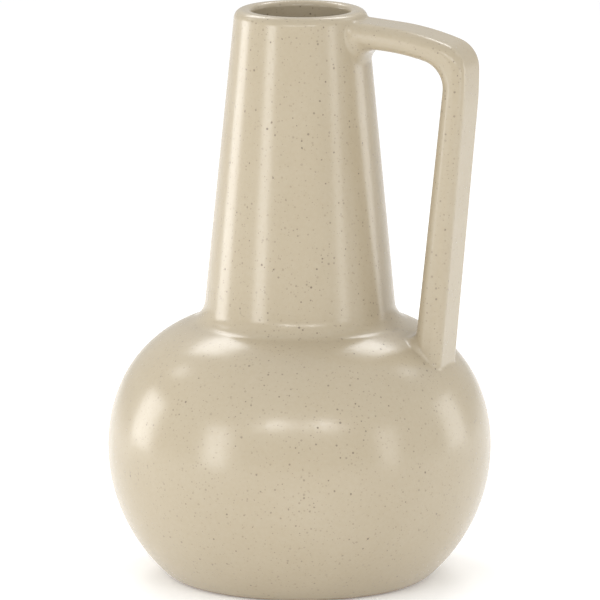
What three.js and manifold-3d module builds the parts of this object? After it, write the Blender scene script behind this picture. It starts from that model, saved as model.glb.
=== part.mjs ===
// A stoneware bottle vase: a round belly, a tall tapering neck and one strap handle.
// Each mesh is one piece of clay that the potter luted to its neighbours before firing.
// Millimetres, +Z up. The origin is the centre of the flat foot, and the handle stands along +X.
import * as THREE from "three";
import { mergeVertices } from "three/addons/utils/BufferGeometryUtils.js";
import Module from "manifold-3d";

const wasm = await Module();
wasm.setup();

// ---- Driving dimensions -------------------------------------------------------------------

const HEIGHT = 250; // foot to lip

// Belly: arcs that run into one another, from the foot up to the neck.
const BELLY_RADIUS = 83.6; // at its widest
const BELLY_LEVEL = 58; // height of the widest point
const FOOT_RADIUS = 52; // outer edge of the flat that it stands on
const FOOT_CORNER = 10; // radius of the turn from the foot into the belly
const SIDE_RADIUS = 66.2; // arc just above the widest point
const SIDE_SWEEP = 22.1; // degrees that the side arc turns through
const SHOULDER_RADIUS = 52.9; // arc from the side up to the neck
const BELLY_WALL = 6;

// Foot and floor.
const FOOT_WIDTH = 8; // width of the flat ring
const FOOT_RECESS = 5; // depth of the hollow inside the ring
const FLOOR_THICKNESS = 7;
const FLOOR_FILLET = 10; // inside corner between the floor and the wall

// Neck and lip.
const NECK_TOP_RADIUS = 28.66; // the neck's straight side carried up to the lip's height
const NECK_TAPER = 5.65; // degrees that the side leans in
const NECK_WALL = 7.5;
const NECK_FILLET = 10.2; // hollow curve between the shoulder and the neck
const LIP_DEPTH = 7; // height of the lip coil
const LIP_OUTER_ROUND = 4;
const LIP_INNER_ROUND = 2.2;

// Handle: a strap that leaves the neck, turns down at an elbow and lands on the shoulder.
const HANDLE_WIDTH = 25;
const HANDLE_DEPTH = 10.8;
const HANDLE_EDGE = 4.5; // rounding along the strap's four edges
const HANDLE_REACH = 79.5; // the axis of the vase to the strap's outermost point
const ARM_DROP = 4; // lip to the top of the arm, where the arch starts
const ARM_SLOPE = 4.5; // degrees that the straight part of the arm falls
const ARCH_RADIUS = 114.5; // long curve along the top of the arm
const ARCH_END = 18.8; // slope in degrees where the arch ends
const ELBOW_RADIUS = 13;
const ELBOW_END = 88.8; // slope in degrees where the elbow ends
const BOW_RADIUS = 155; // gentle curve from the elbow into the leg
const LEG_LEAN = 4.95; // degrees that the leg's outer face leans in on its way down
const LEG_INNER_LEAN = 6; // the inner face leans more, so the strap thickens downward
const ELBOW_INNER_RADIUS = 11.5;

// Joints between the pieces.
const SLIP = 0.3; // layer of slip between the handle, its coils and the body
const COIL = 2.4; // thickness of the coils pressed round the handle's two ends
const COIL_TOP_GAP = 3; // the upper coil stops this far below the top of the arm

// Smoothness.
const TURN_STEPS = 48; // flats round each turned piece
const ARC_STEP = 9; // degrees between points along an arc
const EDGE_STEPS = 3; // flats across each rounded edge of the strap

const radians = THREE.MathUtils.degToRad;
const degrees = THREE.MathUtils.radToDeg;
const point = (radius, height) => new THREE.Vector2(radius, height);

// ---- Plane geometry -----------------------------------------------------------------------

// A point at an angle and a distance from a centre.
function polar(centre, radius, angle) {
  return point(
    centre.x + radius * Math.cos(radians(angle)),
    centre.y + radius * Math.sin(radians(angle)),
  );
}

// Points along an arc, both ends included. Angles are in degrees from the +X direction.
function arc(centre, radius, from, to) {
  const steps = Math.max(2, Math.ceil(Math.abs(to - from) / ARC_STEP));
  return Array.from({ length: steps + 1 }, (_, i) =>
    polar(centre, radius, from + ((to - from) * i) / steps),
  );
}

// The higher of the two points that lie at a distance from a centre and on a line.
function higherMeeting(centre, distance, linePoint, lineAngle) {
  const along = polar(point(0, 0), 1, lineAngle);
  const across = point(-along.y, along.x);
  const gap = linePoint.clone().sub(centre).dot(across);
  const half = Math.sqrt(distance * distance - gap * gap);
  const nearest = centre.clone().addScaledVector(across, gap);
  const ends = [half, -half].map((s) => nearest.clone().addScaledVector(along, s));
  return ends[0].y > ends[1].y ? ends[0] : ends[1];
}

const angleFrom = (centre, target) =>
  degrees(Math.atan2(target.y - centre.y, target.x - centre.x));

// The stretch of an outline that climbs steadily, between two heights.
function between(outline, low, high) {
  const at = (height) => {
    const above = outline.findIndex((p, i) => i > 0 && p.y >= height);
    const [a, b] = [outline[above - 1], outline[above]];
    return a.clone().lerp(b, (height - a.y) / (b.y - a.y));
  };
  const TOUCH = 1e-6;
  const inside = outline.filter((p) => p.y > low + TOUCH && p.y < high - TOUCH);
  return [at(low), ...inside, at(high)];
}

// The same outline moved outward, to the right of its direction of travel.
function grown(outline, distance) {
  return outline.map((p, i) => {
    const before = outline[Math.max(i - 1, 0)];
    const after = outline[Math.min(i + 1, outline.length - 1)];
    const along = after.clone().sub(before).normalize();
    return point(p.x + along.y * distance, p.y - along.x * distance);
  });
}

// ---- Outline of the body ------------------------------------------------------------------

const neckRadius = (height) =>
  NECK_TOP_RADIUS + (HEIGHT - height) * Math.tan(radians(NECK_TAPER));
const boreRadius = (height) => neckRadius(height) - NECK_WALL / Math.cos(radians(NECK_TAPER));

// The lower arc leaves the foot's corner and stands upright at the widest point.
const cornerCentre = point(FOOT_RADIUS, FOOT_CORNER);
const spread = BELLY_RADIUS - FOOT_RADIUS;
const rise = BELLY_LEVEL - FOOT_CORNER;
const lowerRadius =
  (spread ** 2 + rise ** 2 - FOOT_CORNER ** 2) / (2 * (spread - FOOT_CORNER));
const lowerCentre = point(BELLY_RADIUS - lowerRadius, BELLY_LEVEL);
const cornerEnd = angleFrom(lowerCentre, cornerCentre);

const sideCentre = point(BELLY_RADIUS - SIDE_RADIUS, BELLY_LEVEL);
const shoulderCentre = polar(sideCentre, SIDE_RADIUS - SHOULDER_RADIUS, SIDE_SWEEP);

// The hollow curve touches the shoulder on one side and the neck's straight side on the other.
const neckLineAngle = 90 + NECK_TAPER;
const filletCentre = higherMeeting(
  shoulderCentre,
  SHOULDER_RADIUS + NECK_FILLET,
  point(neckRadius(0) + NECK_FILLET / Math.cos(radians(NECK_TAPER)), 0),
  neckLineAngle,
);
const shoulderEnd = angleFrom(shoulderCentre, filletCentre);
const shoulderTop = polar(shoulderCentre, SHOULDER_RADIUS, shoulderEnd);
const fillet = arc(filletCentre, NECK_FILLET, 180 + shoulderEnd, 180 + NECK_TAPER);
const filletTop = fillet.at(-1);

const bellyOutside = [
  ...arc(cornerCentre, FOOT_CORNER, -90, cornerEnd),
  ...arc(lowerCentre, lowerRadius, cornerEnd, 0).slice(1),
  ...arc(sideCentre, SIDE_RADIUS, 0, SIDE_SWEEP).slice(1),
  ...arc(shoulderCentre, SHOULDER_RADIUS, SIDE_SWEEP, shoulderEnd).slice(1),
];

// The inside keeps the same centres. It starts at the floor and ends at the hole for the neck.
const floorLevel = FOOT_RECESS + FLOOR_THICKNESS;
const floorDrop = BELLY_LEVEL - floorLevel - FLOOR_FILLET;
const floorCentre = point(
  lowerCentre.x +
    Math.sqrt((lowerRadius - BELLY_WALL - FLOOR_FILLET) ** 2 - floorDrop ** 2),
  floorLevel + FLOOR_FILLET,
);
const floorEnd = angleFrom(lowerCentre, floorCentre);
const holeRadius = boreRadius(shoulderTop.y);
const innerShoulder = SHOULDER_RADIUS - BELLY_WALL;
const holeAngle = degrees(Math.acos((holeRadius - shoulderCentre.x) / innerShoulder));

const bellyInside = [
  ...arc(floorCentre, FLOOR_FILLET, -90, floorEnd),
  ...arc(lowerCentre, lowerRadius - BELLY_WALL, floorEnd, 0).slice(1),
  ...arc(sideCentre, SIDE_RADIUS - BELLY_WALL, 0, SIDE_SWEEP).slice(1),
  ...arc(shoulderCentre, innerShoulder, SIDE_SWEEP, holeAngle).slice(1),
];

const lipJoint = HEIGHT - LIP_DEPTH;
const lipSlant = 1 / Math.cos(radians(NECK_TAPER));
const lipOuterCentre = point(
  neckRadius(HEIGHT - LIP_OUTER_ROUND) - LIP_OUTER_ROUND * lipSlant,
  HEIGHT - LIP_OUTER_ROUND,
);
const lipInnerCentre = point(
  boreRadius(HEIGHT - LIP_INNER_ROUND) + LIP_INNER_ROUND * lipSlant,
  HEIGHT - LIP_INNER_ROUND,
);
const lipOutside = arc(lipOuterCentre, LIP_OUTER_ROUND, NECK_TAPER, 90);
const lipInside = arc(lipInnerCentre, LIP_INNER_ROUND, 90, 180 + NECK_TAPER);

// ---- Solids -------------------------------------------------------------------------------

// A turned piece. Its outline runs anticlockwise, and closes on itself or ends on the axis.
function turned(outline) {
  const onAxis = outline[0].x === 0;
  const profile = onAxis ? outline : [...outline, outline[0].clone()];
  const geometry = new THREE.LatheGeometry(profile, TURN_STEPS);
  return geometry.rotateX(Math.PI / 2);
}

function solidOf(geometry) {
  const bare = geometry.clone();
  bare.deleteAttribute("normal");
  bare.deleteAttribute("uv");
  const merged = mergeVertices(bare, 1e-4);
  return new wasm.Manifold(
    new wasm.Mesh({
      numProp: 3,
      vertProperties: merged.attributes.position.array,
      triVerts: new Uint32Array(merged.index.array),
    }),
  );
}

function geometryOf(solid) {
  const mesh = solid.getMesh();
  const geometry = new THREE.BufferGeometry();
  geometry.setAttribute("position", new THREE.BufferAttribute(mesh.vertProperties, 3));
  geometry.setIndex(new THREE.BufferAttribute(mesh.triVerts, 1));
  geometry.computeVertexNormals();
  return geometry;
}

// The whole body as one filled solid, grown by a distance, to cut the handle's ends to fit.
function filledBody(distance) {
  const outside = grown([...bellyOutside, ...fillet.slice(1), ...lipOutside], distance);
  const [foot, lip] = [outside[0], outside.at(-1)];
  return solidOf(turned([point(0, foot.y), ...outside, point(0, lip.y)]));
}

// The strap's outline in the XZ plane: out along the top, down the leg and back inside.
function strapOutline() {
  const reachOf = (radius, from, to) =>
    radius * (Math.sin(radians(to)) - Math.sin(radians(from)));
  const archStart = point(
    HANDLE_REACH -
      reachOf(ARCH_RADIUS, ARM_SLOPE, ARCH_END) -
      reachOf(ELBOW_RADIUS, ARCH_END, ELBOW_END) -
      reachOf(BOW_RADIUS, ELBOW_END, 90),
    HEIGHT - ARM_DROP,
  );
  const lineBack = (from, distance) =>
    point(from.x - distance, from.y + distance * Math.tan(radians(ARM_SLOPE)));
  // Each curve starts where the last one ended, turning about a centre on its inner side.
  const centreBelow = (from, radius, slope) => polar(from, radius, -90 - slope);
  const archCentre = centreBelow(archStart, ARCH_RADIUS, ARM_SLOPE);
  const arch = arc(archCentre, ARCH_RADIUS, 90 - ARM_SLOPE, 90 - ARCH_END);
  const elbowCentre = centreBelow(arch.at(-1), ELBOW_RADIUS, ARCH_END);
  const elbow = arc(elbowCentre, ELBOW_RADIUS, 90 - ARCH_END, 90 - ELBOW_END);
  const bowCentre = centreBelow(elbow.at(-1), BOW_RADIUS, ELBOW_END);
  const bow = arc(bowCentre, BOW_RADIUS, 90 - ELBOW_END, -LEG_LEAN);

  // The leg runs on into the belly, down to its widest level.
  const legTop = bow.at(-1);
  const downTo = (from, lean) =>
    point(from.x - (from.y - BELLY_LEVEL) * Math.tan(radians(lean)), BELLY_LEVEL);
  const innerTop = polar(legTop, HANDLE_DEPTH, 180 - LEG_LEAN);

  // The inner elbow touches the underside of the arch and the leg's inner face.
  const innerLine = polar(innerTop, ELBOW_INNER_RADIUS, 180 - LEG_INNER_LEAN);
  const undersideRadius = ARCH_RADIUS - HANDLE_DEPTH;
  const innerCentre = higherMeeting(
    archCentre,
    undersideRadius - ELBOW_INNER_RADIUS,
    innerLine,
    90 - LEG_INNER_LEAN,
  );
  const undersideEnd = angleFrom(archCentre, innerCentre);
  const innerElbow = arc(innerCentre, ELBOW_INNER_RADIUS, -LEG_INNER_LEAN, undersideEnd);
  const underside = arc(archCentre, undersideRadius, undersideEnd, 90 - ARM_SLOPE);

  const intoNeck = archStart.x - boreRadius(HEIGHT) / 2;
  const back = lineBack(archStart, intoNeck);
  const backUnder = lineBack(underside.at(-1), intoNeck);
  return [
    back,
    ...arch,
    ...elbow.slice(1),
    ...bow.slice(1),
    downTo(legTop, LEG_LEAN),
    downTo(innerTop, LEG_INNER_LEAN),
    ...innerElbow,
    ...underside.slice(1),
    backUnder,
  ];
}

// The strap with rounded edges, grown all round by a distance.
function strap(distance) {
  const geometry = new THREE.ExtrudeGeometry(new THREE.Shape(strapOutline()), {
    depth: HANDLE_WIDTH - 2 * HANDLE_EDGE,
    steps: 1,
    bevelEnabled: true,
    bevelThickness: HANDLE_EDGE + distance,
    bevelSize: HANDLE_EDGE + distance,
    bevelOffset: -HANDLE_EDGE,
    bevelSegments: EDGE_STEPS,
  });
  geometry.rotateX(Math.PI / 2);
  geometry.translate(0, HANDLE_WIDTH / 2 - HANDLE_EDGE, 0);
  return solidOf(geometry);
}

// Everything below, or above, a height, as a block wide enough for the whole vase.
function blockBetween(low, high) {
  const size = 4 * (BELLY_RADIUS + HANDLE_REACH);
  const geometry = new THREE.BoxGeometry(size, size, high - low);
  geometry.translate(0, 0, (low + high) / 2);
  return solidOf(geometry);
}

// A coil of clay pressed into the corner between the strap and the body, between two heights.
function jointCoil(low, high) {
  return strap(COIL + SLIP)
    .intersect(filledBody(COIL + SLIP))
    .intersect(blockBetween(low, high))
    .subtract(strap(SLIP))
    .subtract(filledBody(SLIP));
}

// ---- The pieces ---------------------------------------------------------------------------

const glaze = new THREE.MeshStandardMaterial({
  color: 0xc9bd9f,
  roughness: 0.35,
  metalness: 0,
});
const bareClay = new THREE.MeshStandardMaterial({
  color: 0xb59c7c,
  roughness: 0.85,
  metalness: 0,
});

function piece(name, geometry, material = glaze) {
  const mesh = new THREE.Mesh(geometry, material);
  mesh.name = name;
  return mesh;
}

const jointLevel = shoulderTop.y;
const footInner = FOOT_RADIUS - FOOT_WIDTH;

const body = new THREE.Group();
body.add(
  piece(
    "foot_ring",
    turned([
      point(footInner, 0),
      ...between(bellyOutside, 0, FOOT_RECESS),
      point(footInner, FOOT_RECESS),
    ]),
    bareClay,
  ),
  piece(
    "base_slab",
    turned([
      point(0, FOOT_RECESS),
      ...between(bellyOutside, FOOT_RECESS, floorLevel),
      point(0, floorLevel),
    ]),
  ),
  piece(
    "lower_bowl",
    turned([
      ...between(bellyOutside, floorLevel, BELLY_LEVEL),
      ...between(bellyInside, floorLevel, BELLY_LEVEL).reverse(),
    ]),
  ),
  piece(
    "shoulder_dome",
    turned([
      ...between(bellyOutside, BELLY_LEVEL, jointLevel),
      point(holeRadius, jointLevel),
      ...between(bellyInside, BELLY_LEVEL, bellyInside.at(-1).y).reverse(),
    ]),
  ),
  piece("neck_joint_coil", turned([point(neckRadius(jointLevel), jointLevel), ...fillet])),
  piece(
    "neck_tube",
    turned([
      point(boreRadius(jointLevel), jointLevel),
      point(neckRadius(jointLevel), jointLevel),
      filletTop,
      point(neckRadius(lipJoint), lipJoint),
      point(boreRadius(lipJoint), lipJoint),
    ]),
  ),
  piece(
    "lip_coil",
    turned([
      point(boreRadius(lipJoint), lipJoint),
      point(neckRadius(lipJoint), lipJoint),
      ...lipOutside,
      ...lipInside,
    ]),
  ),
);

const handle = new THREE.Group();
const middleLevel = (jointLevel + HEIGHT) / 2;
const upperCoilTop = HEIGHT - ARM_DROP - COIL_TOP_GAP;
handle.add(
  piece("handle_strap", geometryOf(strap(0).subtract(filledBody(SLIP)))),
  piece("handle_upper_joint_coil", geometryOf(jointCoil(middleLevel, upperCoilTop))),
  piece("handle_lower_joint_coil", geometryOf(jointCoil(BELLY_LEVEL, middleLevel))),
);

const vase = new THREE.Group();
vase.add(body, handle);

export default vase;
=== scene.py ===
"""A speckled stoneware bottle vase, built clay piece by clay piece round the loaded frame."""

import math
from itertools import pairwise

import bpy
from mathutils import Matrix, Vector


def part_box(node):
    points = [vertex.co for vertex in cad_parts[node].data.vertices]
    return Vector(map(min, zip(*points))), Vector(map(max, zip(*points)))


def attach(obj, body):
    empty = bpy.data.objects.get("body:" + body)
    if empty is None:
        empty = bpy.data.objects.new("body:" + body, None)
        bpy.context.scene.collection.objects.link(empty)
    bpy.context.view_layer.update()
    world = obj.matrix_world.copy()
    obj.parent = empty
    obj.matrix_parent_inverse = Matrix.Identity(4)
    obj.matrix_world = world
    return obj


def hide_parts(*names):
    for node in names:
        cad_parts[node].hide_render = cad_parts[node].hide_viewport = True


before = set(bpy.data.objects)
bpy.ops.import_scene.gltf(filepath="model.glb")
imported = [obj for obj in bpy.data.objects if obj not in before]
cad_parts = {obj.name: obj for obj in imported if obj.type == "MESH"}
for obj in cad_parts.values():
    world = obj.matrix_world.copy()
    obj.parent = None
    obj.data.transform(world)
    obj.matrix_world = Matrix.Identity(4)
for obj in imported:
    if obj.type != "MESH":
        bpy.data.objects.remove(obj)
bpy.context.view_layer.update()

bl_info = {
    "name": "Speckled Stoneware Vase",
    "version": (1, 0, 0),
    "blender": (4, 5, 0),
    "location": "3D View > Sidebar > Vase",
    "description": "Shapes and glazes a bottle vase with a strap handle",
    "category": "Object",
}

BODY = "root"
MM = 0.001
TURN_STEPS = 192  # flats round each turned piece
ARC_STEP = math.radians(2)

FOOT_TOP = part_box("foot_ring")[1].z
FLOOR_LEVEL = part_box("base_slab")[1].z
BELLY_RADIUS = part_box("lower_bowl")[1].x
BELLY_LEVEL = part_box("lower_bowl")[1].z
JOINT_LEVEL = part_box("shoulder_dome")[1].z
LIP_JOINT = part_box("lip_coil")[0].z
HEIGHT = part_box("lip_coil")[1].z
HANDLE_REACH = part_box("handle_strap")[1].x
HANDLE_WIDTH = 2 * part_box("handle_strap")[1].y


# ---- Sizes and colours that a user would change ----------------------------------------------


def length(name, description, millimetres):
    return bpy.props.FloatProperty(
        name=name, description=description, default=millimetres * MM, min=0, unit="LENGTH"
    )


def angle(name, description, degrees):
    return bpy.props.FloatProperty(
        name=name, description=description, default=math.radians(degrees), subtype="ANGLE"
    )


def colour(name, description, red, green, blue):
    return bpy.props.FloatVectorProperty(
        name=name,
        description=description,
        default=(red, green, blue),
        min=0,
        max=1,
        subtype="COLOR",
    )


def share(name, description, amount):
    return bpy.props.FloatProperty(
        name=name, description=description, default=amount, min=0, max=1, subtype="FACTOR"
    )


def glow(name, description, amount):
    return bpy.props.FloatProperty(name=name, description=description, default=amount, min=0)


class BodySizes(bpy.types.PropertyGroup):
    """Sizes of the turned body, from the foot to the lip."""

    foot_radius: length("Foot radius", "Outer edge of the flat that it stands on", 52)
    foot_corner: length("Foot corner", "Radius of the turn from the foot into the belly", 10)
    foot_width: length("Foot width", "Width of the flat ring", 8)
    foot_edge: length("Foot edge", "Rounding inside the flat ring", 1)
    side_radius: length("Side radius", "Arc just above the widest point", 66.2)
    side_sweep: angle("Side sweep", "Angle that the side arc turns through", 22.1)
    shoulder_radius: length("Shoulder radius", "Arc from the side up to the neck", 52.9)
    belly_wall: length("Belly wall", "Thickness of the belly", 6)
    floor_fillet: length("Floor fillet", "Inside corner between floor and wall", 10)
    neck_top_radius: length("Neck top radius", "The neck's side carried up to the lip", 28.66)
    neck_taper: angle("Neck taper", "Angle that the neck's side leans in", 5.65)
    neck_wall: length("Neck wall", "Thickness of the neck", 7.5)
    neck_fillet: length("Neck fillet", "Hollow curve between shoulder and neck", 10.2)
    lip_outer_round: length("Lip outer round", "Rounding outside the lip", 4)
    lip_inner_round: length("Lip inner round", "Rounding inside the lip", 2.2)


class HandleSizes(bpy.types.PropertyGroup):
    """Sizes of the strap handle and of the clay pressed round its two ends."""

    depth: length("Depth", "Thickness of the strap at its elbow", 10.8)
    outer_edge: length("Outer edge", "Rounding along the two outer edges", 5)
    inner_edge: length("Inner edge", "Rounding along the two inner edges", 5.4)
    arm_drop: length("Arm drop", "Lip to the top of the arm, where its arch starts", 4)
    arm_slope: angle("Arm slope", "Fall of the straight part of the arm", 4.5)
    arch_radius: length("Arch radius", "Long curve along the top of the arm", 114.5)
    arch_end: angle("Arch end", "Slope where the arch ends", 18.8)
    elbow_radius: length("Elbow radius", "Outer curve of the elbow", 13)
    elbow_end: angle("Elbow end", "Slope where the elbow ends", 88.8)
    elbow_inner_radius: length("Inner elbow", "Inner curve of the elbow", 11.5)
    bow_radius: length("Bow radius", "Gentle curve from the elbow into the leg", 155)
    leg_lean: angle("Leg lean", "Lean of the leg's outer face", 4.95)
    leg_inner_lean: angle("Leg inner lean", "Lean of the leg's inner face", 6)
    slip: length("Slip", "Layer of slip between the strap and the body", 0.3)
    upper_top: length("Upper joint, top", "Hollow curve over the arm", 2)
    upper_side: length("Upper joint, sides", "Hollow curve beside the arm", 4)
    upper_under: length("Upper joint, under", "Hollow curve under the arm", 8)
    lower_outer: length("Lower joint, outside", "Hollow curve outside the leg", 3)
    lower_side: length("Lower joint, sides", "Hollow curve beside the leg", 2)
    lower_inner: length("Lower joint, inside", "Hollow curve inside the leg", 4.5)


class GlazeLooks(bpy.types.PropertyGroup):
    """Colours and texture of the glaze and of the bare clay."""

    glaze: colour("Glaze", "Colour of the glaze where it is even", 0.455, 0.392, 0.288)
    thin_glaze: colour("Thin glaze", "Warmer colour where the glaze lies thin", 0.4, 0.33, 0.22)
    iron: colour("Iron", "Colour of the iron specks", 0.13, 0.095, 0.06)
    clay: colour("Bare clay", "Colour of the unglazed foot", 0.45, 0.34, 0.23)
    gloss: share("Roughness", "Roughness of the glaze", 0.22)
    clay_roughness: share("Clay roughness", "Roughness of the bare clay", 0.85)
    glaze_edge: length("Glaze edge", "Height at which the glaze stops on the foot", 1.2)
    speck_cell: length("Speck spacing", "Size of the cells that hold one large speck", 1.95)
    speck_radius: length("Speck radius", "Radius of the largest specks", 0.6)
    dust_cell: length("Dust spacing", "Size of the cells that hold one fine speck", 1.6)
    dust_radius: length("Dust radius", "Radius of the largest fine specks", 0.42)


class StageLooks(bpy.types.PropertyGroup):
    """Floor, lights and camera."""

    floor: colour("Floor", "Colour of the floor", 0.9, 0.9, 0.9)
    floor_glow: glow("Floor glow", "Light that comes up through the floor", 0.18)
    room_low: glow("Room, level", "Brightness of the room near the horizon", 0.78)
    room_high: glow("Room, overhead", "Brightness of the room overhead", 1.1)
    lamps: glow("Lamps", "Brightness of every soft box together", 1.0)
    turn: angle("Camera turn", "Direction from which the camera looks", 22)
    rise: angle("Camera rise", "Height of the camera as an angle", 11.04)
    roll: angle("Camera roll", "Lean of the camera to one side", 0.17)
    distance: length("Camera distance", "From the camera to the middle of the vase", 3500)
    aim_drop: length("Aim drop", "How far below the middle the camera aims", 3.25)
    lens: bpy.props.FloatProperty(
        name="Lens", description="Focal length", default=482.6, min=1, unit="CAMERA"
    )


# ---- Plane curves ----------------------------------------------------------------------------


def towards(direction):
    return Vector((math.cos(direction), math.sin(direction)))


def direction_of(vector):
    return math.atan2(vector.y, vector.x)


class Arc:
    """Part of a circle, from one angle to another. A hollow arc bounds the clay outside it."""

    def __init__(self, centre, radius, start, end, hollow=False):
        self.centre, self.radius = centre, radius
        self.start, self.end = start, end
        self.side = -1 if hollow else 1

    def point(self, direction):
        return self.centre + self.radius * towards(direction)

    def walk(self):
        """Points along the arc, each with the direction that faces away from the clay."""
        steps = max(2, math.ceil(abs(self.end - self.start) / ARC_STEP))
        turns = [self.start + (self.end - self.start) * i / steps for i in range(steps + 1)]
        return [(self.point(turn), self.side * towards(turn)) for turn in turns]

    def gap(self, place):
        """Distance from the clay and the way out, or None where another stretch is nearer."""
        out = place - self.centre
        low, high = sorted((self.start, self.end))
        turned_by = (direction_of(out) - low) % math.tau
        if turned_by > high - low:
            return None
        return self.side * (out.length - self.radius), self.side * out.normalized()


class Line:
    """A straight stretch, with the clay on its left."""

    def __init__(self, start, end):
        self.start, self.end = start, end
        self.along = (end - start).normalized()
        self.facing = Vector((self.along.y, -self.along.x))

    def walk(self):
        return [(self.start, self.facing), (self.end, self.facing)]

    def gap(self, place):
        if not 0 <= (place - self.start).dot(self.along) <= (self.end - self.start).length:
            return None
        return (place - self.start).dot(self.facing), self.facing


def chain(parts):
    """The points of smoothly joined parts as one stretch."""
    stretch = parts[0].walk()
    for part in parts[1:]:
        stretch += part.walk()[1:]
    return stretch


def between(stretch, low, high):
    """The part of a climbing stretch between two heights."""

    def at(height):
        for (a, a_facing), (b, b_facing) in pairwise(stretch):
            if b.y >= height:
                share_of_b = (height - a.y) / (b.y - a.y)
                return a.lerp(b, share_of_b), a_facing.lerp(b_facing, share_of_b).normalized()
        return stretch[-1]

    touch = 1e-7
    return [at(low), *(p for p in stretch if low + touch < p[0].y < high - touch), at(high)]


def higher_meeting(centre, distance, line_point, line_angle):
    """The higher of the two points at a distance from a centre and on a line."""
    along = towards(line_angle)
    across = Vector((-along.y, along.x))
    offset = (line_point - centre).dot(across)
    half = math.sqrt(distance * distance - offset * offset)
    nearest = centre + offset * across
    return max((nearest + half * along, nearest - half * along), key=lambda p: p.y)


class Track:
    """A plane curve of straight runs and bends, each going on from the last one's end."""

    def __init__(self, start, heading):
        self.end, self.heading = start, heading
        self.runs = []
        self.length = 0.0

    def run(self, distance, bend=0.0):
        """Adds a run. Bend is its curvature, positive to the left."""
        self.runs.append((self.length, distance, self.end, self.heading, bend))
        self.length += distance
        self.end, self.heading = self.at(self.length)
        return self

    def turn_to(self, heading, radius):
        """Adds a bend to the right of a radius, until the curve has a heading."""
        return self.run((self.heading - heading) * radius, -1 / radius)

    def at(self, distance):
        """The point at a distance along the curve, and the heading there."""
        run = next((r for r in self.runs if distance <= r[0] + r[1]), self.runs[-1])
        begun, _, start, heading, bend = run
        gone = distance - begun
        if bend == 0:
            return start + gone * towards(heading), heading
        turned = heading + bend * gone
        offset = Vector(
            (math.sin(turned) - math.sin(heading), math.cos(heading) - math.cos(turned))
        )
        return start + offset / bend, turned


# ---- Outline of the body ---------------------------------------------------------------------


class BodyOutline:
    """The outside and inside of the turned body, as arcs and lines in a plane through the axis."""

    def __init__(self, sizes):
        quarter = math.pi / 2
        slant = 1 / math.cos(sizes.neck_taper)
        self.slope = math.tan(sizes.neck_taper)
        self.sizes = sizes

        corner = Arc(
            Vector((sizes.foot_radius, sizes.foot_corner)), sizes.foot_corner, -quarter, 0
        )
        spread = BELLY_RADIUS - sizes.foot_radius
        rise = BELLY_LEVEL - sizes.foot_corner
        lower_radius = (spread**2 + rise**2 - sizes.foot_corner**2) / (
            2 * (spread - sizes.foot_corner)
        )
        lower_centre = Vector((BELLY_RADIUS - lower_radius, BELLY_LEVEL))
        corner.end = direction_of(corner.centre - lower_centre)
        side_centre = Vector((BELLY_RADIUS - sizes.side_radius, BELLY_LEVEL))
        shoulder_centre = side_centre + (sizes.side_radius - sizes.shoulder_radius) * towards(
            sizes.side_sweep
        )
        fillet_centre = higher_meeting(
            shoulder_centre,
            sizes.shoulder_radius + sizes.neck_fillet,
            Vector((self.neck_radius(0) + sizes.neck_fillet * slant, 0)),
            quarter + sizes.neck_taper,
        )
        shoulder_end = direction_of(fillet_centre - shoulder_centre)

        self.belly = [
            corner,
            Arc(lower_centre, lower_radius, corner.end, 0),
            Arc(side_centre, sizes.side_radius, 0, sizes.side_sweep),
            Arc(shoulder_centre, sizes.shoulder_radius, sizes.side_sweep, shoulder_end),
        ]
        self.fillet = Arc(
            fillet_centre,
            sizes.neck_fillet,
            math.pi + shoulder_end,
            math.pi + sizes.neck_taper,
            hollow=True,
        )
        self.fillet_top = self.fillet.point(self.fillet.end)
        self.lip_outer = Arc(
            Vector(
                (
                    self.neck_radius(HEIGHT - sizes.lip_outer_round)
                    - sizes.lip_outer_round * slant,
                    HEIGHT - sizes.lip_outer_round,
                )
            ),
            sizes.lip_outer_round,
            sizes.neck_taper,
            quarter,
        )
        self.lip_inner = Arc(
            Vector(
                (
                    self.bore_radius(HEIGHT - sizes.lip_inner_round)
                    + sizes.lip_inner_round * slant,
                    HEIGHT - sizes.lip_inner_round,
                )
            ),
            sizes.lip_inner_round,
            quarter,
            math.pi + sizes.neck_taper,
        )
        self.neck_line = Line(self.fillet_top, self.lip_outer.point(self.lip_outer.start))

        # The inside keeps the outside's centres, from the floor up to the hole for the neck.
        wall = sizes.belly_wall
        floor_drop = BELLY_LEVEL - FLOOR_LEVEL - sizes.floor_fillet
        floor_centre = Vector(
            (
                lower_centre.x
                + math.sqrt((lower_radius - wall - sizes.floor_fillet) ** 2 - floor_drop**2),
                FLOOR_LEVEL + sizes.floor_fillet,
            )
        )
        floor_end = direction_of(floor_centre - lower_centre)
        inner_shoulder = sizes.shoulder_radius - wall
        hole_turn = math.acos(
            (self.bore_radius(JOINT_LEVEL) - shoulder_centre.x) / inner_shoulder
        )
        self.belly_inside = [
            Arc(floor_centre, sizes.floor_fillet, -quarter, floor_end, hollow=True),
            Arc(lower_centre, lower_radius - wall, floor_end, 0, hollow=True),
            Arc(side_centre, sizes.side_radius - wall, 0, sizes.side_sweep, hollow=True),
            Arc(shoulder_centre, inner_shoulder, sizes.side_sweep, hole_turn, hollow=True),
        ]
        self.outside = [*self.belly, self.fillet, self.neck_line, self.lip_outer]

    def neck_radius(self, height):
        return self.sizes.neck_top_radius + (HEIGHT - height) * self.slope

    def bore_radius(self, height):
        return self.neck_radius(height) - self.sizes.neck_wall * math.hypot(1, self.slope)

    def gap(self, place):
        """How far a point in space lies outside the body, and the direction away from it."""
        flat = Vector((math.hypot(place.x, place.y), place.z))
        found = [part.gap(flat) for part in self.outside]
        distance, facing = min((f for f in found if f), key=lambda f: abs(f[0]))
        away = Vector((place.x, place.y)).normalized()
        return distance, Vector((facing.x * away.x, facing.x * away.y, facing.y))


# ---- Meshes ----------------------------------------------------------------------------------


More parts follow.
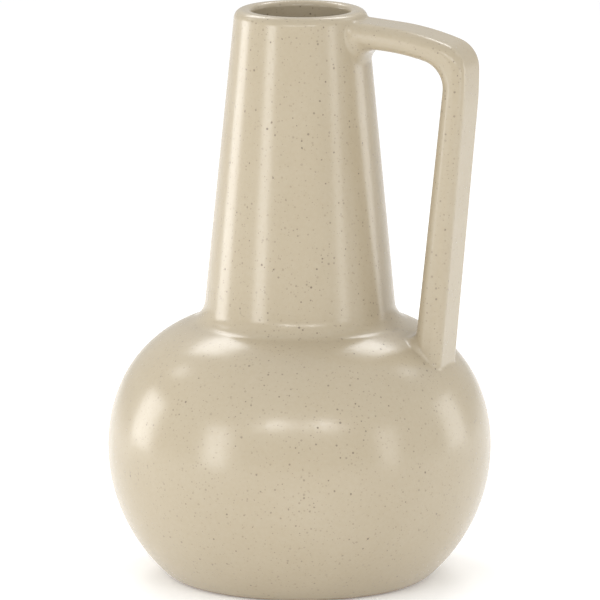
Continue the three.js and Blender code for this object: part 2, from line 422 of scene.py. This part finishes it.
def skinned(rows, strips):
    """Corners, faces and facings of the strips between rows.

    A row is a ring of places or one pole.
    """
    corners, starts = [], []
    for row in rows:
        starts.append(len(corners))
        corners += row
    faces, facings = [], []
    for lower, upper, lower_facings, upper_facings in strips:
        count = len(lower_facings)
        for step in range(count):
            following = (step + 1) % count
            path = [
                (lower, step, lower_facings),
                (lower, following, lower_facings),
                (upper, following, upper_facings),
                (upper, step, upper_facings),
            ]
            if len(rows[lower]) == 1:
                path = path[1:]
            if len(rows[upper]) == 1:
                path = path[:-1]
            faces.append([starts[row] + (at if len(rows[row]) > 1 else 0) for row, at, _ in path])
            facings += [given[at] for _, at, given in path]
    return corners, faces, facings


def add_piece(name, surface, material, node):
    """Makes a mesh piece that shows its true surface directions, in place of a frame node."""
    corners, faces, facings = surface
    mesh = bpy.data.meshes.new(name)
    mesh.from_pydata(corners, [], faces)
    mesh.polygons.foreach_set("use_smooth", [True] * len(faces))
    mesh.normals_split_custom_set(facings)
    mesh.materials.append(material)
    piece = bpy.data.objects.new(name, mesh)
    bpy.context.scene.collection.objects.link(piece)
    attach(piece, BODY)
    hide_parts(node)


def turned(stretches):
    """A solid turned round the axis.

    Its outline runs anticlockwise, and closes or ends on the axis.
    """
    spokes = [towards(math.tau * i / TURN_STEPS) for i in range(TURN_STEPS)]

    def around(flat_place):
        return [(flat_place.x * s.x, flat_place.x * s.y, flat_place.y) for s in spokes]

    outline = [pair for stretch in stretches for pair in pairwise(stretch)]
    rings = [here for (here, _), _ in outline]
    last = stretches[-1][-1][0]
    if last.x == 0:
        rings.append(last)
    rows = [around(ring) if ring.x > 0 else [(0, 0, ring.y)] for ring in rings]
    strips = [
        (index, (index + 1) % len(rows), around(facing), around(next_facing))
        for index, ((_, facing), (_, next_facing)) in enumerate(outline)
    ]
    return skinned(rows, strips)


def flat(from_radius, to_radius, height):
    return Line(Vector((from_radius, height)), Vector((to_radius, height))).walk()


# ---- The strap handle ------------------------------------------------------------------------

ARM, ELBOW, LEG, LEG_END = range(4)
STATIONS = (36, 48, 72)  # rings along the arm, round the elbow and down the leg
EDGE_STEPS = 8  # flats across each rounded edge
FACE_STEPS = (10, 2)  # points across a broad face and across a side
CAP_SHARES = (0, 0.3, 0.6, 0.85)  # rings across the strap's ends, from the middle out
HALVINGS = 40
COIL_STEPS = 8  # flats across a joint's hollow face
SINK = 0.4 * MM  # how far the hidden side of a joint coil reaches into its neighbours


def crossing(measure, inside, outside):
    """Where a measure passes zero, between a place where it is below and one where it is above."""
    for _ in range(HALVINGS):
        middle = (inside + outside) / 2
        if measure(middle) < 0:
            inside = middle
        else:
            outside = middle
    return outside


class Strap:
    """The strap's surface. A place along it runs from 0 in the neck to 3 in the belly."""

    def __init__(self, sizes, body):
        self.sizes, self.body = sizes, body
        up, down = math.pi / 2, -math.pi / 2

        def reach(radius, start, end):
            return radius * (math.sin(end) - math.sin(start))

        arch_start = Vector(
            (
                HANDLE_REACH
                - reach(sizes.arch_radius, sizes.arm_slope, sizes.arch_end)
                - reach(sizes.elbow_radius, sizes.arch_end, sizes.elbow_end)
                - reach(sizes.bow_radius, sizes.elbow_end, up),
                HEIGHT - sizes.arm_drop,
            )
        )
        middle_of_wall = body.sizes.neck_top_radius - body.sizes.neck_wall / 2
        into_neck = (arch_start.x - middle_of_wall) / math.cos(sizes.arm_slope)
        back = arch_start - into_neck * towards(-sizes.arm_slope)
        arm = Track(back, -sizes.arm_slope).run(into_neck)
        arm.turn_to(-sizes.arch_end, sizes.arch_radius)
        elbow = Track(arm.end, arm.heading).turn_to(-sizes.elbow_end, sizes.elbow_radius)
        elbow.turn_to(down - sizes.leg_lean, sizes.bow_radius)
        leg = Track(elbow.end, elbow.heading)
        leg.run((elbow.end.y - BELLY_LEVEL) / math.cos(sizes.leg_lean))

        # The inner elbow touches the underside of the arch and the leg's inner face.
        arch_centre = arch_start + sizes.arch_radius * towards(down - sizes.arm_slope)
        under_radius = sizes.arch_radius - sizes.depth
        inner_top = elbow.end + sizes.depth * towards(math.pi - sizes.leg_lean)
        inner_line = inner_top + sizes.elbow_inner_radius * towards(math.pi - sizes.leg_inner_lean)
        inner_centre = higher_meeting(
            arch_centre,
            under_radius - sizes.elbow_inner_radius,
            inner_line,
            up - sizes.leg_inner_lean,
        )
        under_back = back + sizes.depth * towards(down - sizes.arm_slope)
        under = Track(under_back, -sizes.arm_slope).run(into_neck)
        under.turn_to(direction_of(inner_centre - arch_centre) - up, under_radius)
        inner_elbow = Track(under.end, under.heading)
        inner_elbow.turn_to(down - sizes.leg_inner_lean, sizes.elbow_inner_radius)
        inner_leg = Track(inner_elbow.end, inner_elbow.heading)
        inner_leg.run((inner_elbow.end.y - BELLY_LEVEL) / math.cos(sizes.leg_inner_lean))

        self.outer = (arm, elbow, leg)
        self.inner = (under, inner_elbow, inner_leg)
        self.count = len(self.section(sizes.depth))

    def section(self, depth):
        """Offsets across and out from the section's middle, all round it, with their facings."""
        sizes, quarter = self.sizes, math.pi / 2
        corners = []
        for side, out in ((1, 1), (-1, 1), (-1, -1), (1, -1)):
            edge = sizes.outer_edge if out > 0 else sizes.inner_edge
            centre = Vector((side * (HANDLE_WIDTH / 2 - edge), out * (depth / 2 - edge)))
            corners.append((centre, edge))
        ring = []
        for number, (centre, edge) in enumerate(corners):
            for step in range(EDGE_STEPS):
                facing = towards(quarter * (number + step / EDGE_STEPS))
                ring.append((centre + edge * facing, facing))
            facing = towards(quarter * (number + 1))
            next_centre, next_edge = corners[(number + 1) % len(corners)]
            start, end = centre + edge * facing, next_centre + next_edge * facing
            steps = FACE_STEPS[number % 2]
            ring += [(start.lerp(end, step / steps), facing) for step in range(steps)]
        return ring

    def frame_at(self, place):
        """Middle, outward direction and section at a place along the strap."""
        part = min(int(place), LEG)
        outer, inner = self.outer[part], self.inner[part]
        gone = place - part
        outer_point = outer.at(gone * outer.length)[0]
        inner_point = inner.at(gone * inner.length)[0]
        across = outer_point - inner_point
        return (outer_point + inner_point) / 2, across.normalized(), self.section(across.length)

    def point(self, place, index, fullness=1.0):
        middle, out, section = self.frame_at(place)
        offset = fullness * section[index][0]
        flat_point = middle + offset.y * out
        return Vector((flat_point.x, offset.x, flat_point.y))

    def facing(self, place, index):
        """The direction that the surface faces, from its tangents along and around the strap."""
        nudge = 1e-4
        along = self.point(place + nudge, index) - self.point(place - nudge, index)
        _, out, section = self.frame_at(place)
        facing = section[index][1]
        around = Vector((facing.x * out.x, -facing.y, facing.x * out.y))
        return around.cross(along).normalized()

    def meeting(self, index, inside, outside, distance, fullness=1.0):
        """Where along the strap its surface is a distance outside the body."""
        return crossing(
            lambda place: self.body.gap(self.point(place, index, fullness))[0] - distance,
            inside,
            outside,
        )

    def surface(self):
        """The whole strap, closed by an end that follows the body's surface on each side."""
        slip, around = self.sizes.slip, range(self.count)

        def cap(share_out, inside, outside):
            places = [self.meeting(k, inside, outside, slip, share_out) for k in around]
            return [self.point(place, k, share_out) for k, place in zip(around, places)]

        def against_body(row):
            return [-self.body.gap(Vector(corner))[1] for corner in row]

        starts = [self.meeting(k, ARM, ELBOW, slip) for k in around]
        ends = [self.meeting(k, LEG_END, LEG, slip) for k in around]
        arm_steps, elbow_steps, leg_steps = STATIONS
        stations = [
            [begun + (ELBOW - begun) * step / arm_steps for begun in starts]
            for step in range(arm_steps)
        ]
        stations += [[ELBOW + step / elbow_steps] * self.count for step in range(elbow_steps)]
        stations += [
            [LEG + (stop - LEG) * step / leg_steps for stop in ends]
            for step in range(leg_steps + 1)
        ]
        sides = [[self.point(p, k) for k, p in enumerate(row)] for row in stations]
        side_facings = [[self.facing(p, k) for k, p in enumerate(row)] for row in stations]
        first = [cap(share_out, ARM, ELBOW) for share_out in CAP_SHARES]
        last = [cap(share_out, LEG_END, LEG) for share_out in reversed(CAP_SHARES)]
        rows = [*first, *sides, *last]
        strips = []
        for lower in range(len(rows) - 1):
            upper = lower + 1
            if upper <= len(first) or lower >= len(first) + len(sides) - 1:
                lower_facings, upper_facings = against_body(rows[lower]), against_body(rows[upper])
            else:
                lower_facings, upper_facings = (
                    side_facings[row - len(first)] for row in (lower, upper)
                )
            strips.append((lower, upper, lower_facings, upper_facings))
        rows[0], rows[-1] = rows[0][:1], rows[-1][:1]
        return skinned(rows, strips)


def joint_coil(strap, inside, outside, roundings):
    """Clay pressed into the corner round an end of the strap, hollowed as by a rolling ball."""
    body = strap.body
    outer, side, inner = roundings
    section = strap.section(strap.sizes.depth)
    columns = []
    for index in range(strap.count):
        lean = section[index][1].y
        radius = side + (outer - side) * max(0, lean) ** 2 + (inner - side) * max(0, -lean) ** 2

        def centre_at(place, index=index, radius=radius):
            return strap.point(place, index) + radius * strap.facing(place, index)

        place = crossing(
            lambda p, at=centre_at, radius=radius: body.gap(at(p))[0] - radius, inside, outside
        )
        centre, strap_facing = centre_at(place), strap.facing(place, index)
        body_facing = body.gap(centre)[1]
        hollow = [strap_facing.slerp(body_facing, i / COIL_STEPS) for i in range(COIL_STEPS + 1)]
        corner = strap.point(strap.meeting(index, inside, outside, 0), index)
        column = [(centre - radius * facing, facing) for facing in hollow]
        column.append((corner - SINK * (strap_facing + body_facing), -body_facing))
        columns.append(column)
    if inside < outside:
        columns.reverse()
    rows = [list(row) for row in zip(*columns)]
    places = [[place for place, _ in row] for row in rows]
    facings = [[facing for _, facing in row] for row in rows]
    hidden = facings[-1]
    strips = [(j, j + 1, facings[j], facings[j + 1]) for j in range(COIL_STEPS)]
    against_strap = [-facing for facing in facings[0]]
    strips += [
        (COIL_STEPS, COIL_STEPS + 1, hidden, hidden),
        (COIL_STEPS + 1, 0, against_strap, against_strap),
    ]
    return skinned(places, strips)


# ---- Paint -----------------------------------------------------------------------------------

HALF = (0.5, 0.5, 0.5)

SPECK_RUFFLE = 0.8 * MM  # size of the wobbles in a speck's outline
SPECK_FRAY = 0.16 * MM  # how far they reach
SPECK_EDGE = 0.16 * MM  # width over which a speck fades out
SMALLEST_SPECK = 0.4  # radius, as a share of the largest one's
PALEST_SPECK = 0.25  # depth of colour, as a share of the darkest one's
DUST_DEPTH = 0.7  # fine specks against large ones
SPECK_HEIGHT = 0.012 * MM
SPECK_ROUGHNESS = 0.15
IRON_IN_GLAZE = 0.85  # how far a speck covers the glaze
IRON_IN_CLAY = 0.6

THIN_PATCH = 34 * MM  # size of the patches where the glaze lies thin
THIN_RANGE = (0.35, 0.75)
THIN_SHARE = 0.2
MOTTLE_PATCH = 1.6 * MM
MOTTLE_SHARE = 0.5
MOTTLE_ROUGHNESS = 0.08
SWELL_PATCH = 11 * MM  # slow unevenness left by the throwing
SWELL_HEIGHT = 0.05 * MM
PEEL_PATCH = 2.2 * MM  # fine ripple of the melted glaze
PEEL_HEIGHT = 0.006 * MM

EDGE_PATCH = 9 * MM  # the glaze's edge wanders up and down the foot
EDGE_WANDER = 1.4 * MM
EDGE_BLUR = 0.1 * MM
UNDERSIDE_RADIUS = 46 * MM  # inside it the base slab is bare, above as well as below
UNDERSIDE_BLUR = 1 * MM
GRAIN_PATCH = 0.5 * MM
GRAIN_HEIGHT = 0.05 * MM
DARK_CLAY_SHARE = 0.75


class Number:
    """A number that varies over a surface. Sums on it add Math nodes to its paint."""

    def __init__(self, paint, socket):
        self.paint, self.socket = paint, socket

    def maths(self, operation, *terms):
        sockets = dict(enumerate(terms))
        node = self.paint.node("ShaderNodeMath", {"operation": operation}, sockets)
        return Number(self.paint, node.outputs[0])

    def __add__(self, other):
        return self.maths("ADD", self, other)

    def __sub__(self, other):
        return self.maths("SUBTRACT", self, other)

    def __rsub__(self, other):
        return self.maths("SUBTRACT", other, self)

    def __mul__(self, other):
        return self.maths("MULTIPLY", self, other)

    def __pow__(self, other):
        return self.maths("POWER", self, other)

    __radd__ = __add__
    __rmul__ = __mul__

    def either(self, other):
        return self.maths("MAXIMUM", self, other)

    def eased(self, none, full):
        """0 where the number is at one value and 1 at another, with a smooth change between."""
        node = self.paint.node(
            "ShaderNodeMapRange",
            {"interpolation_type": "SMOOTHSTEP"},
            {"Value": self, "From Min": none, "From Max": full},
        )
        return Number(self.paint, node.outputs["Result"])


class Nodes:
    """The nodes of a material or of the room, all made by one method."""

    def __init__(self, owner):
        owner.use_nodes = True
        self.tree = owner.node_tree
        self.tree.nodes.clear()

    def node(self, kind, settings=None, sockets=None):
        """Adds a node: its settings first, then the values or links of its sockets."""
        node = self.tree.nodes.new(kind)
        for name, value in (settings or {}).items():
            setattr(node, name, value)
        for name, value in (sockets or {}).items():
            socket = value.socket if isinstance(value, Number) else value
            if isinstance(socket, bpy.types.NodeSocket):
                self.tree.links.new(socket, node.inputs[name])
            else:
                node.inputs[name].default_value = value
        return node

    def parts(self, vector):
        node = self.node("ShaderNodeSeparateXYZ", sockets={"Vector": vector})
        return [Number(self, output) for output in node.outputs]


class Paint(Nodes):
    """A material. Its patterns lie in the vase's own space, so they run on from piece to piece."""

    def __init__(self, name):
        self.material = bpy.data.materials.new(name)
        super().__init__(self.material)
        self.place = self.node("ShaderNodeTexCoord").outputs["Object"]

    def noise(self, size, detail):
        """Soft random numbers from 0 to 1 in patches of a size."""
        sockets = {"Vector": self.place, "Scale": 1 / size, "Detail": detail}
        node = self.node("ShaderNodeTexNoise", {"noise_dimensions": "3D"}, sockets)
        return Number(self, node.outputs[0])

    def mixed(self, first, second, amount):
        """One colour turning into another."""
        node = self.node(
            "ShaderNodeMix",
            {"data_type": "RGBA", "blend_type": "MIX"},
            {"Factor": amount, 6: first, 7: second},
        )
        return node.outputs[2]

    def ruffled(self, size, amount):
        """The place on the surface, pushed about at random by up to an amount."""
        sockets = {"Vector": self.place, "Scale": 1 / size}
        push = self.node("ShaderNodeTexNoise", {"noise_dimensions": "3D"}, sockets).outputs[1]
        centred = self.node("ShaderNodeVectorMath", {"operation": "SUBTRACT"}, {0: push, 1: HALF})
        node = self.node(
            "ShaderNodeVectorMath",
            {"operation": "MULTIPLY_ADD"},
            {0: centred.outputs[0], 1: [2 * amount] * 3, 2: self.place},
        )
        return node.outputs[0]

    def specks(self, where, cell, largest, softness):
        """How deep the nearest speck is, from 0 to 1.

        Each cell holds one speck, of its own size and depth.
        """
        node = self.node(
            "ShaderNodeTexVoronoi",
            {"voronoi_dimensions": "3D", "feature": "F1"},
            {"Vector": where, "Scale": 1 / cell},
        )
        distance = Number(self, node.outputs["Distance"]) * cell
        size_draw, depth_draw, _ = self.parts(node.outputs["Color"])
        radius = largest * (SMALLEST_SPECK + (1 - SMALLEST_SPECK) * size_draw**2)
        edge = (radius - distance).eased(0, softness)
        return edge * (PALEST_SPECK + (1 - PALEST_SPECK) * depth_draw**2)

    def finish(self, constants, varying):
        """The shader: constants on its own sockets, and what varies linked to them."""
        shader = self.node("ShaderNodeBsdfPrincipled", sockets={**constants, **varying})
        self.node("ShaderNodeOutputMaterial", sockets={"Surface": shader.outputs[0]})
        return self.material


def glaze_paint(name, looks, footed=False):
    """Satin glaze with iron specks. With a foot, it stops above bare clay on the underside."""
    paint = Paint(name)
    where = paint.ruffled(SPECK_RUFFLE, SPECK_FRAY)
    large = paint.specks(where, looks.speck_cell, looks.speck_radius, SPECK_EDGE)
    dust = paint.specks(where, looks.dust_cell, looks.dust_radius, SPECK_EDGE)
    speck = large.either(dust * DUST_DEPTH)

    thin = paint.noise(THIN_PATCH, 3).eased(*THIN_RANGE)
    mottle = paint.noise(MOTTLE_PATCH, 3)
    thinness = thin * THIN_SHARE + mottle * MOTTLE_SHARE
    ground = paint.mixed((*looks.glaze, 1), (*looks.thin_glaze, 1), thinness)
    colour_of_glaze = paint.mixed(ground, (*looks.iron, 1), speck * IRON_IN_GLAZE)
    roughness = looks.gloss + speck * SPECK_ROUGHNESS + (mottle - 0.5) * MOTTLE_ROUGHNESS
    swell = paint.noise(SWELL_PATCH, 1) * SWELL_HEIGHT
    peel = paint.noise(PEEL_PATCH, 2) * PEEL_HEIGHT
    height = swell + peel + speck * SPECK_HEIGHT
    colour_shown = colour_of_glaze
    if footed:
        x, y, z = paint.parts(paint.place)
        radius = (x * x + y * y) ** 0.5
        edge = looks.glaze_edge + (paint.noise(EDGE_PATCH, 2) - 0.5) * EDGE_WANDER
        bare = (edge - z).eased(-EDGE_BLUR, EDGE_BLUR)
        bare = bare.either((radius - UNDERSIDE_RADIUS).eased(UNDERSIDE_BLUR, 0))
        grain = paint.noise(GRAIN_PATCH, 2)
        dark_clay = (*(DARK_CLAY_SHARE * part for part in looks.clay), 1)
        clay = paint.mixed((*looks.clay, 1), dark_clay, grain)
        clay = paint.mixed(clay, (*looks.iron, 1), speck * IRON_IN_CLAY)
        colour_shown = paint.mixed(colour_of_glaze, clay, bare)
        roughness = roughness + bare * (looks.clay_roughness - looks.gloss)
        height = height * (1 - bare) + bare * grain * GRAIN_HEIGHT
    relief = {"Height": height, "Distance": 1.0, "Strength": 1.0}
    bump = paint.node("ShaderNodeBump", sockets=relief)
    return paint.finish(
        {"IOR": 1.5, "Metallic": 0.0},
        {"Base Color": colour_shown, "Roughness": roughness, "Normal": bump.outputs[0]},
    )


def material(name):
    """A vase material, made when it is first asked for."""
    looks = bpy.context.scene.vase_glaze
    return bpy.data.materials.get(name) or glaze_paint(name, looks, footed=name == "glazed_foot")


# ---- Pieces ----------------------------------------------------------------------------------


def body_outline():
    return BodyOutline(bpy.context.scene.vase_body)


def strap_of_handle():
    return Strap(bpy.context.scene.vase_handle, body_outline())


class VASE_OT_foot_ring(bpy.types.Operator):
    """Turn the foot ring that the vase stands on"""

    bl_idname = "vase.foot_ring"
    bl_label = "Foot Ring"

    def execute(self, context):
        sizes = context.scene.vase_body
        inner = sizes.foot_radius - sizes.foot_width
        edge = sizes.foot_edge
        quarter = math.pi / 2
        centre = Vector((inner + edge, edge))
        outside = between(chain(body_outline().belly), 0, FOOT_TOP)
        surface = turned(
            [
                outside,
                flat(outside[-1][0].x, inner, FOOT_TOP),
                Line(Vector((inner, FOOT_TOP)), Vector((inner, edge))).walk(),
                Arc(centre, edge, 2 * quarter, 3 * quarter).walk(),
                flat(inner + edge, sizes.foot_radius, 0),
            ]
        )
        add_piece("foot_ring_clay", surface, material("glazed_foot"), "foot_ring")
        return {"FINISHED"}


class VASE_OT_base_slab(bpy.types.Operator):
    """Lay the base slab, the floor of the pot"""

    bl_idname = "vase.base_slab"
    bl_label = "Base Slab"

    def execute(self, context):
        outside = between(chain(body_outline().belly), FOOT_TOP, FLOOR_LEVEL)
        surface = turned(
            [
                flat(0, outside[0][0].x, FOOT_TOP),
                outside,
                flat(outside[-1][0].x, 0, FLOOR_LEVEL),
            ]
        )
        add_piece("base_slab_glazed", surface, material("glazed_foot"), "base_slab")
        return {"FINISHED"}


class VASE_OT_lower_bowl(bpy.types.Operator):
    """Throw the lower bowl, from the floor to the widest level"""

    bl_idname = "vase.lower_bowl"
    bl_label = "Lower Bowl"

    def execute(self, context):
        outline = body_outline()
        outside = between(chain(outline.belly), FLOOR_LEVEL, BELLY_LEVEL)
        inside = between(chain(outline.belly_inside), FLOOR_LEVEL, BELLY_LEVEL)[::-1]
        surface = turned(
            [
                outside,
                flat(outside[-1][0].x, inside[0][0].x, BELLY_LEVEL),
                inside,
                flat(inside[-1][0].x, outside[0][0].x, FLOOR_LEVEL),
            ]
        )
        add_piece("lower_bowl_glazed", surface, material("satin_glaze"), "lower_bowl")
        return {"FINISHED"}


class VASE_OT_shoulder_dome(bpy.types.Operator):
    """Throw the shoulder dome, from the widest level up to the hole for the neck"""

    bl_idname = "vase.shoulder_dome"
    bl_label = "Shoulder Dome"

    def execute(self, context):
        outline = body_outline()
        inner_arc = outline.belly_inside[-1]
        hole = inner_arc.point(inner_arc.end)
        outside = between(chain(outline.belly), BELLY_LEVEL, JOINT_LEVEL)
        inside = between(chain(outline.belly_inside), BELLY_LEVEL, hole.y)[::-1]
        surface = turned(
            [
                outside,
                flat(outside[-1][0].x, hole.x, JOINT_LEVEL),
                Line(Vector((hole.x, JOINT_LEVEL)), hole).walk(),
                inside,
                flat(inside[-1][0].x, outside[0][0].x, BELLY_LEVEL),
            ]
        )
        add_piece("shoulder_dome_glazed", surface, material("satin_glaze"), "shoulder_dome")
        return {"FINISHED"}


class VASE_OT_neck_coil(bpy.types.Operator):
    """Smooth the coil into the corner between shoulder and neck"""

    bl_idname = "vase.neck_coil"
    bl_label = "Neck Joint Coil"

    def execute(self, context):
        outline = body_outline()
        root = Vector((outline.neck_radius(JOINT_LEVEL), JOINT_LEVEL))
        fillet = outline.fillet.walk()
        surface = turned(
            [Line(root, fillet[0][0]).walk(), fillet, Line(fillet[-1][0], root).walk()]
        )
        add_piece("neck_coil_glazed", surface, material("satin_glaze"), "neck_joint_coil")
        return {"FINISHED"}


class VASE_OT_neck_tube(bpy.types.Operator):
    """Throw the tall tapering neck"""

    bl_idname = "vase.neck_tube"
    bl_label = "Neck Tube"

    def execute(self, context):
        outline = body_outline()
        outer_low, outer_high = (
            Vector((outline.neck_radius(level), level)) for level in (JOINT_LEVEL, LIP_JOINT)
        )
        inner_low, inner_high = (
            Vector((outline.bore_radius(level), level)) for level in (JOINT_LEVEL, LIP_JOINT)
        )
        surface = turned(
            [
                Line(outer_low, outer_high).walk(),
                Line(outer_high, inner_high).walk(),
                Line(inner_high, inner_low).walk(),
                Line(inner_low, outer_low).walk(),
            ]
        )
        add_piece("neck_tube_glazed", surface, material("satin_glaze"), "neck_tube")
        return {"FINISHED"}


class VASE_OT_lip_coil(bpy.types.Operator):
    """Round the thick lip"""

    bl_idname = "vase.lip_coil"
    bl_label = "Lip Coil"

    def execute(self, context):
        outline = body_outline()
        outer, inner = outline.lip_outer, outline.lip_inner
        outer_foot = Vector((outline.neck_radius(LIP_JOINT), LIP_JOINT))
        inner_foot = Vector((outline.bore_radius(LIP_JOINT), LIP_JOINT))
        surface = turned(
            [
                Line(outer_foot, outer.point(outer.start)).walk(),
                outer.walk(),
                Line(outer.point(outer.end), inner.point(inner.start)).walk(),
                inner.walk(),
                Line(inner.point(inner.end), inner_foot).walk(),
                Line(inner_foot, outer_foot).walk(),
            ]
        )
        add_piece("lip_coil_glazed", surface, material("satin_glaze"), "lip_coil")
        return {"FINISHED"}


class VASE_OT_handle_strap(bpy.types.Operator):
    """Pull the strap handle and bend it at its elbow"""

    bl_idname = "vase.handle_strap"
    bl_label = "Handle Strap"

    def execute(self, context):
        surface = strap_of_handle().surface()
        add_piece("handle_strap_glazed", surface, material("satin_glaze"), "handle_strap")
        return {"FINISHED"}


class VASE_OT_handle_coils(bpy.types.Operator):
    """Press a coil of clay round each end of the handle"""

    bl_idname = "vase.handle_coils"
    bl_label = "Handle Joint Coils"

    def execute(self, context):
        sizes = context.scene.vase_handle
        strap = strap_of_handle()
        upper = (sizes.upper_top, sizes.upper_side, sizes.upper_under)
        lower = (sizes.lower_outer, sizes.lower_side, sizes.lower_inner)
        glaze = material("satin_glaze")
        surface = joint_coil(strap, ARM, ELBOW, upper)
        add_piece("handle_upper_coil_glazed", surface, glaze, "handle_upper_joint_coil")
        surface = joint_coil(strap, LEG_END, LEG, lower)
        add_piece("handle_lower_coil_glazed", surface, glaze, "handle_lower_joint_coil")
        return {"FINISHED"}


# ---- Stage -----------------------------------------------------------------------------------

FLOOR_HALF_SIZE = 30.0
WHITE = (1, 1, 1, 1)
MIDDLE = HEIGHT / 2
LAMP_AIM = Vector((0, 0, 0.1))
ROOM_RISE = (0.1, 0.9)  # share of the way up where the room starts and stops getting brighter

# Soft boxes round the vase: name, degrees round from the camera, then metres away, height of the
# middle, width and height, and brightness.
SOFT_BOXES = (
    ("left_tall", -107, 0.9, 0.22, 0.32, 0.42, 5.0),
    ("left_strip", -50, 0.9, 0.22, 0.24, 0.42, 5.2),
    ("right_strip", 53, 0.9, 0.22, 0.2, 0.4, 2.8),
    ("right_tall", 106, 0.9, 0.22, 0.3, 0.4, 2.6),
    ("left_small", -116, 0.9, 0.8, 0.16, 0.16, 4.0),
    ("right_small", 111, 0.9, 0.95, 0.16, 0.16, 4.0),
    ("left_high", -150, 0.9, 1.1, 0.5, 0.4, 5.4),
    ("right_high", 152, 0.9, 1.25, 0.5, 0.4, 5.8),
    ("top_left_spot", -15, 0.9, 0.6, 0.16, 0.1, 9.0),
    ("top_right_spot", 16, 0.9, 0.6, 0.16, 0.1, 9.0),
    ("top_bar", 0, 0.95, 0.62, 1.1, 0.09, 5.0),
)


def from_camera(looks, turn):
    """Level direction from the vase, turned from the camera's side. Left of it is negative."""
    around = looks.turn + turn
    return Vector((math.sin(around), -math.cos(around), 0))


def add_floor(looks):
    half = FLOOR_HALF_SIZE
    mesh = bpy.data.meshes.new("floor")
    corners = [(-half, -half, 0), (half, -half, 0), (half, half, 0), (-half, half, 0)]
    mesh.from_pydata(corners, [], [range(4)])
    paint = Paint("pale_floor")
    glow_of_floor = {"Emission Color": WHITE, "Emission Strength": looks.floor_glow}
    chalky = {"Base Color": (*looks.floor, 1), "Roughness": 0.9, "Specular IOR Level": 0.0}
    mesh.materials.append(paint.finish({**chalky, **glow_of_floor}, {}))
    floor = bpy.data.objects.new("floor", mesh)
    bpy.context.scene.collection.objects.link(floor)


def add_soft_box(looks, name, turn, away, height, wide, tall, brightness):
    light = bpy.data.lights.new(name, "AREA")
    light.shape = "RECTANGLE"
    light.size, light.size_y = wide, tall
    light.energy = looks.lamps * brightness * math.pi * wide * tall
    lamp = bpy.data.objects.new(name, light)
    lamp.location = from_camera(looks, math.radians(turn)) * away + Vector((0, 0, height))
    lamp.rotation_euler = (LAMP_AIM - lamp.location).to_track_quat("-Z", "Y").to_euler()
    lamp.visible_camera = False
    bpy.context.scene.collection.objects.link(lamp)


def add_room(looks):
    world = bpy.data.worlds.new("room")
    nodes = Nodes(world)
    direction = nodes.node("ShaderNodeTexCoord").outputs["Generated"]
    height = nodes.parts(direction)[2].eased(*ROOM_RISE)
    strength = looks.room_low + (looks.room_high - looks.room_low) * height
    background = nodes.node("ShaderNodeBackground", sockets={"Strength": strength})
    nodes.node("ShaderNodeOutputWorld", sockets={"Surface": background.outputs[0]})
    bpy.context.scene.world = world


def add_camera(looks):
    data = bpy.data.cameras.new("camera")
    data.lens = looks.lens
    data.clip_end = 10 * looks.distance
    camera = bpy.data.objects.new("camera", data)
    level = math.cos(looks.rise) * from_camera(looks, 0)
    back = level + Vector((0, 0, math.sin(looks.rise)))
    middle = Vector((0, 0, MIDDLE))
    camera.location = middle + looks.distance * back
    sight = middle - Vector((0, 0, looks.aim_drop)) - camera.location
    camera.rotation_euler = sight.to_track_quat("-Z", "Y").to_euler()
    camera.rotation_euler.rotate_axis("Z", looks.roll)
    bpy.context.scene.collection.objects.link(camera)
    bpy.context.scene.camera = camera


class VASE_OT_stage(bpy.types.Operator):
    """Lay the floor, hang the soft boxes and set up the camera"""

    bl_idname = "vase.stage"
    bl_label = "Stage"

    def execute(self, context):
        looks = context.scene.vase_stage
        add_floor(looks)
        add_room(looks)
        for soft_box in SOFT_BOXES:
            add_soft_box(looks, *soft_box)
        add_camera(looks)
        context.scene.view_settings.view_transform = "Standard"
        return {"FINISHED"}


# ---- Panel and registration ------------------------------------------------------------------

GROUPS = {
    "vase_body": BodySizes,
    "vase_handle": HandleSizes,
    "vase_glaze": GlazeLooks,
    "vase_stage": StageLooks,
}
OPERATORS = (
    VASE_OT_foot_ring,
    VASE_OT_base_slab,
    VASE_OT_lower_bowl,
    VASE_OT_shoulder_dome,
    VASE_OT_neck_coil,
    VASE_OT_neck_tube,
    VASE_OT_lip_coil,
    VASE_OT_handle_strap,
    VASE_OT_handle_coils,
    VASE_OT_stage,
)


class VASE_PT_panel(bpy.types.Panel):
    """Lists the vase's pieces and the values that shape them"""

    bl_idname = "VASE_PT_panel"
    bl_label = "Stoneware Vase"
    bl_space_type = "VIEW_3D"
    bl_region_type = "UI"
    bl_category = "Vase"

    def draw(self, context):
        for operator in OPERATORS:
            self.layout.operator(operator.bl_idname)
        for group_name, group in GROUPS.items():
            box = self.layout.box()
            box.label(text=group.__doc__)
            for property_name in group.__annotations__:
                box.prop(getattr(context.scene, group_name), property_name)


def register():
    for each in (*GROUPS.values(), *OPERATORS, VASE_PT_panel):
        bpy.utils.register_class(each)
    for name, group in GROUPS.items():
        setattr(bpy.types.Scene, name, bpy.props.PointerProperty(type=group))


def unregister():
    for name in GROUPS:
        delattr(bpy.types.Scene, name)
    for each in (VASE_PT_panel, *reversed(OPERATORS), *GROUPS.values()):
        bpy.utils.unregister_class(each)


def main():
    register()
    for operator in OPERATORS:
        family, name = operator.bl_idname.split(".")
        getattr(getattr(bpy.ops, family), name)()


if __name__ == "__main__":
    main()
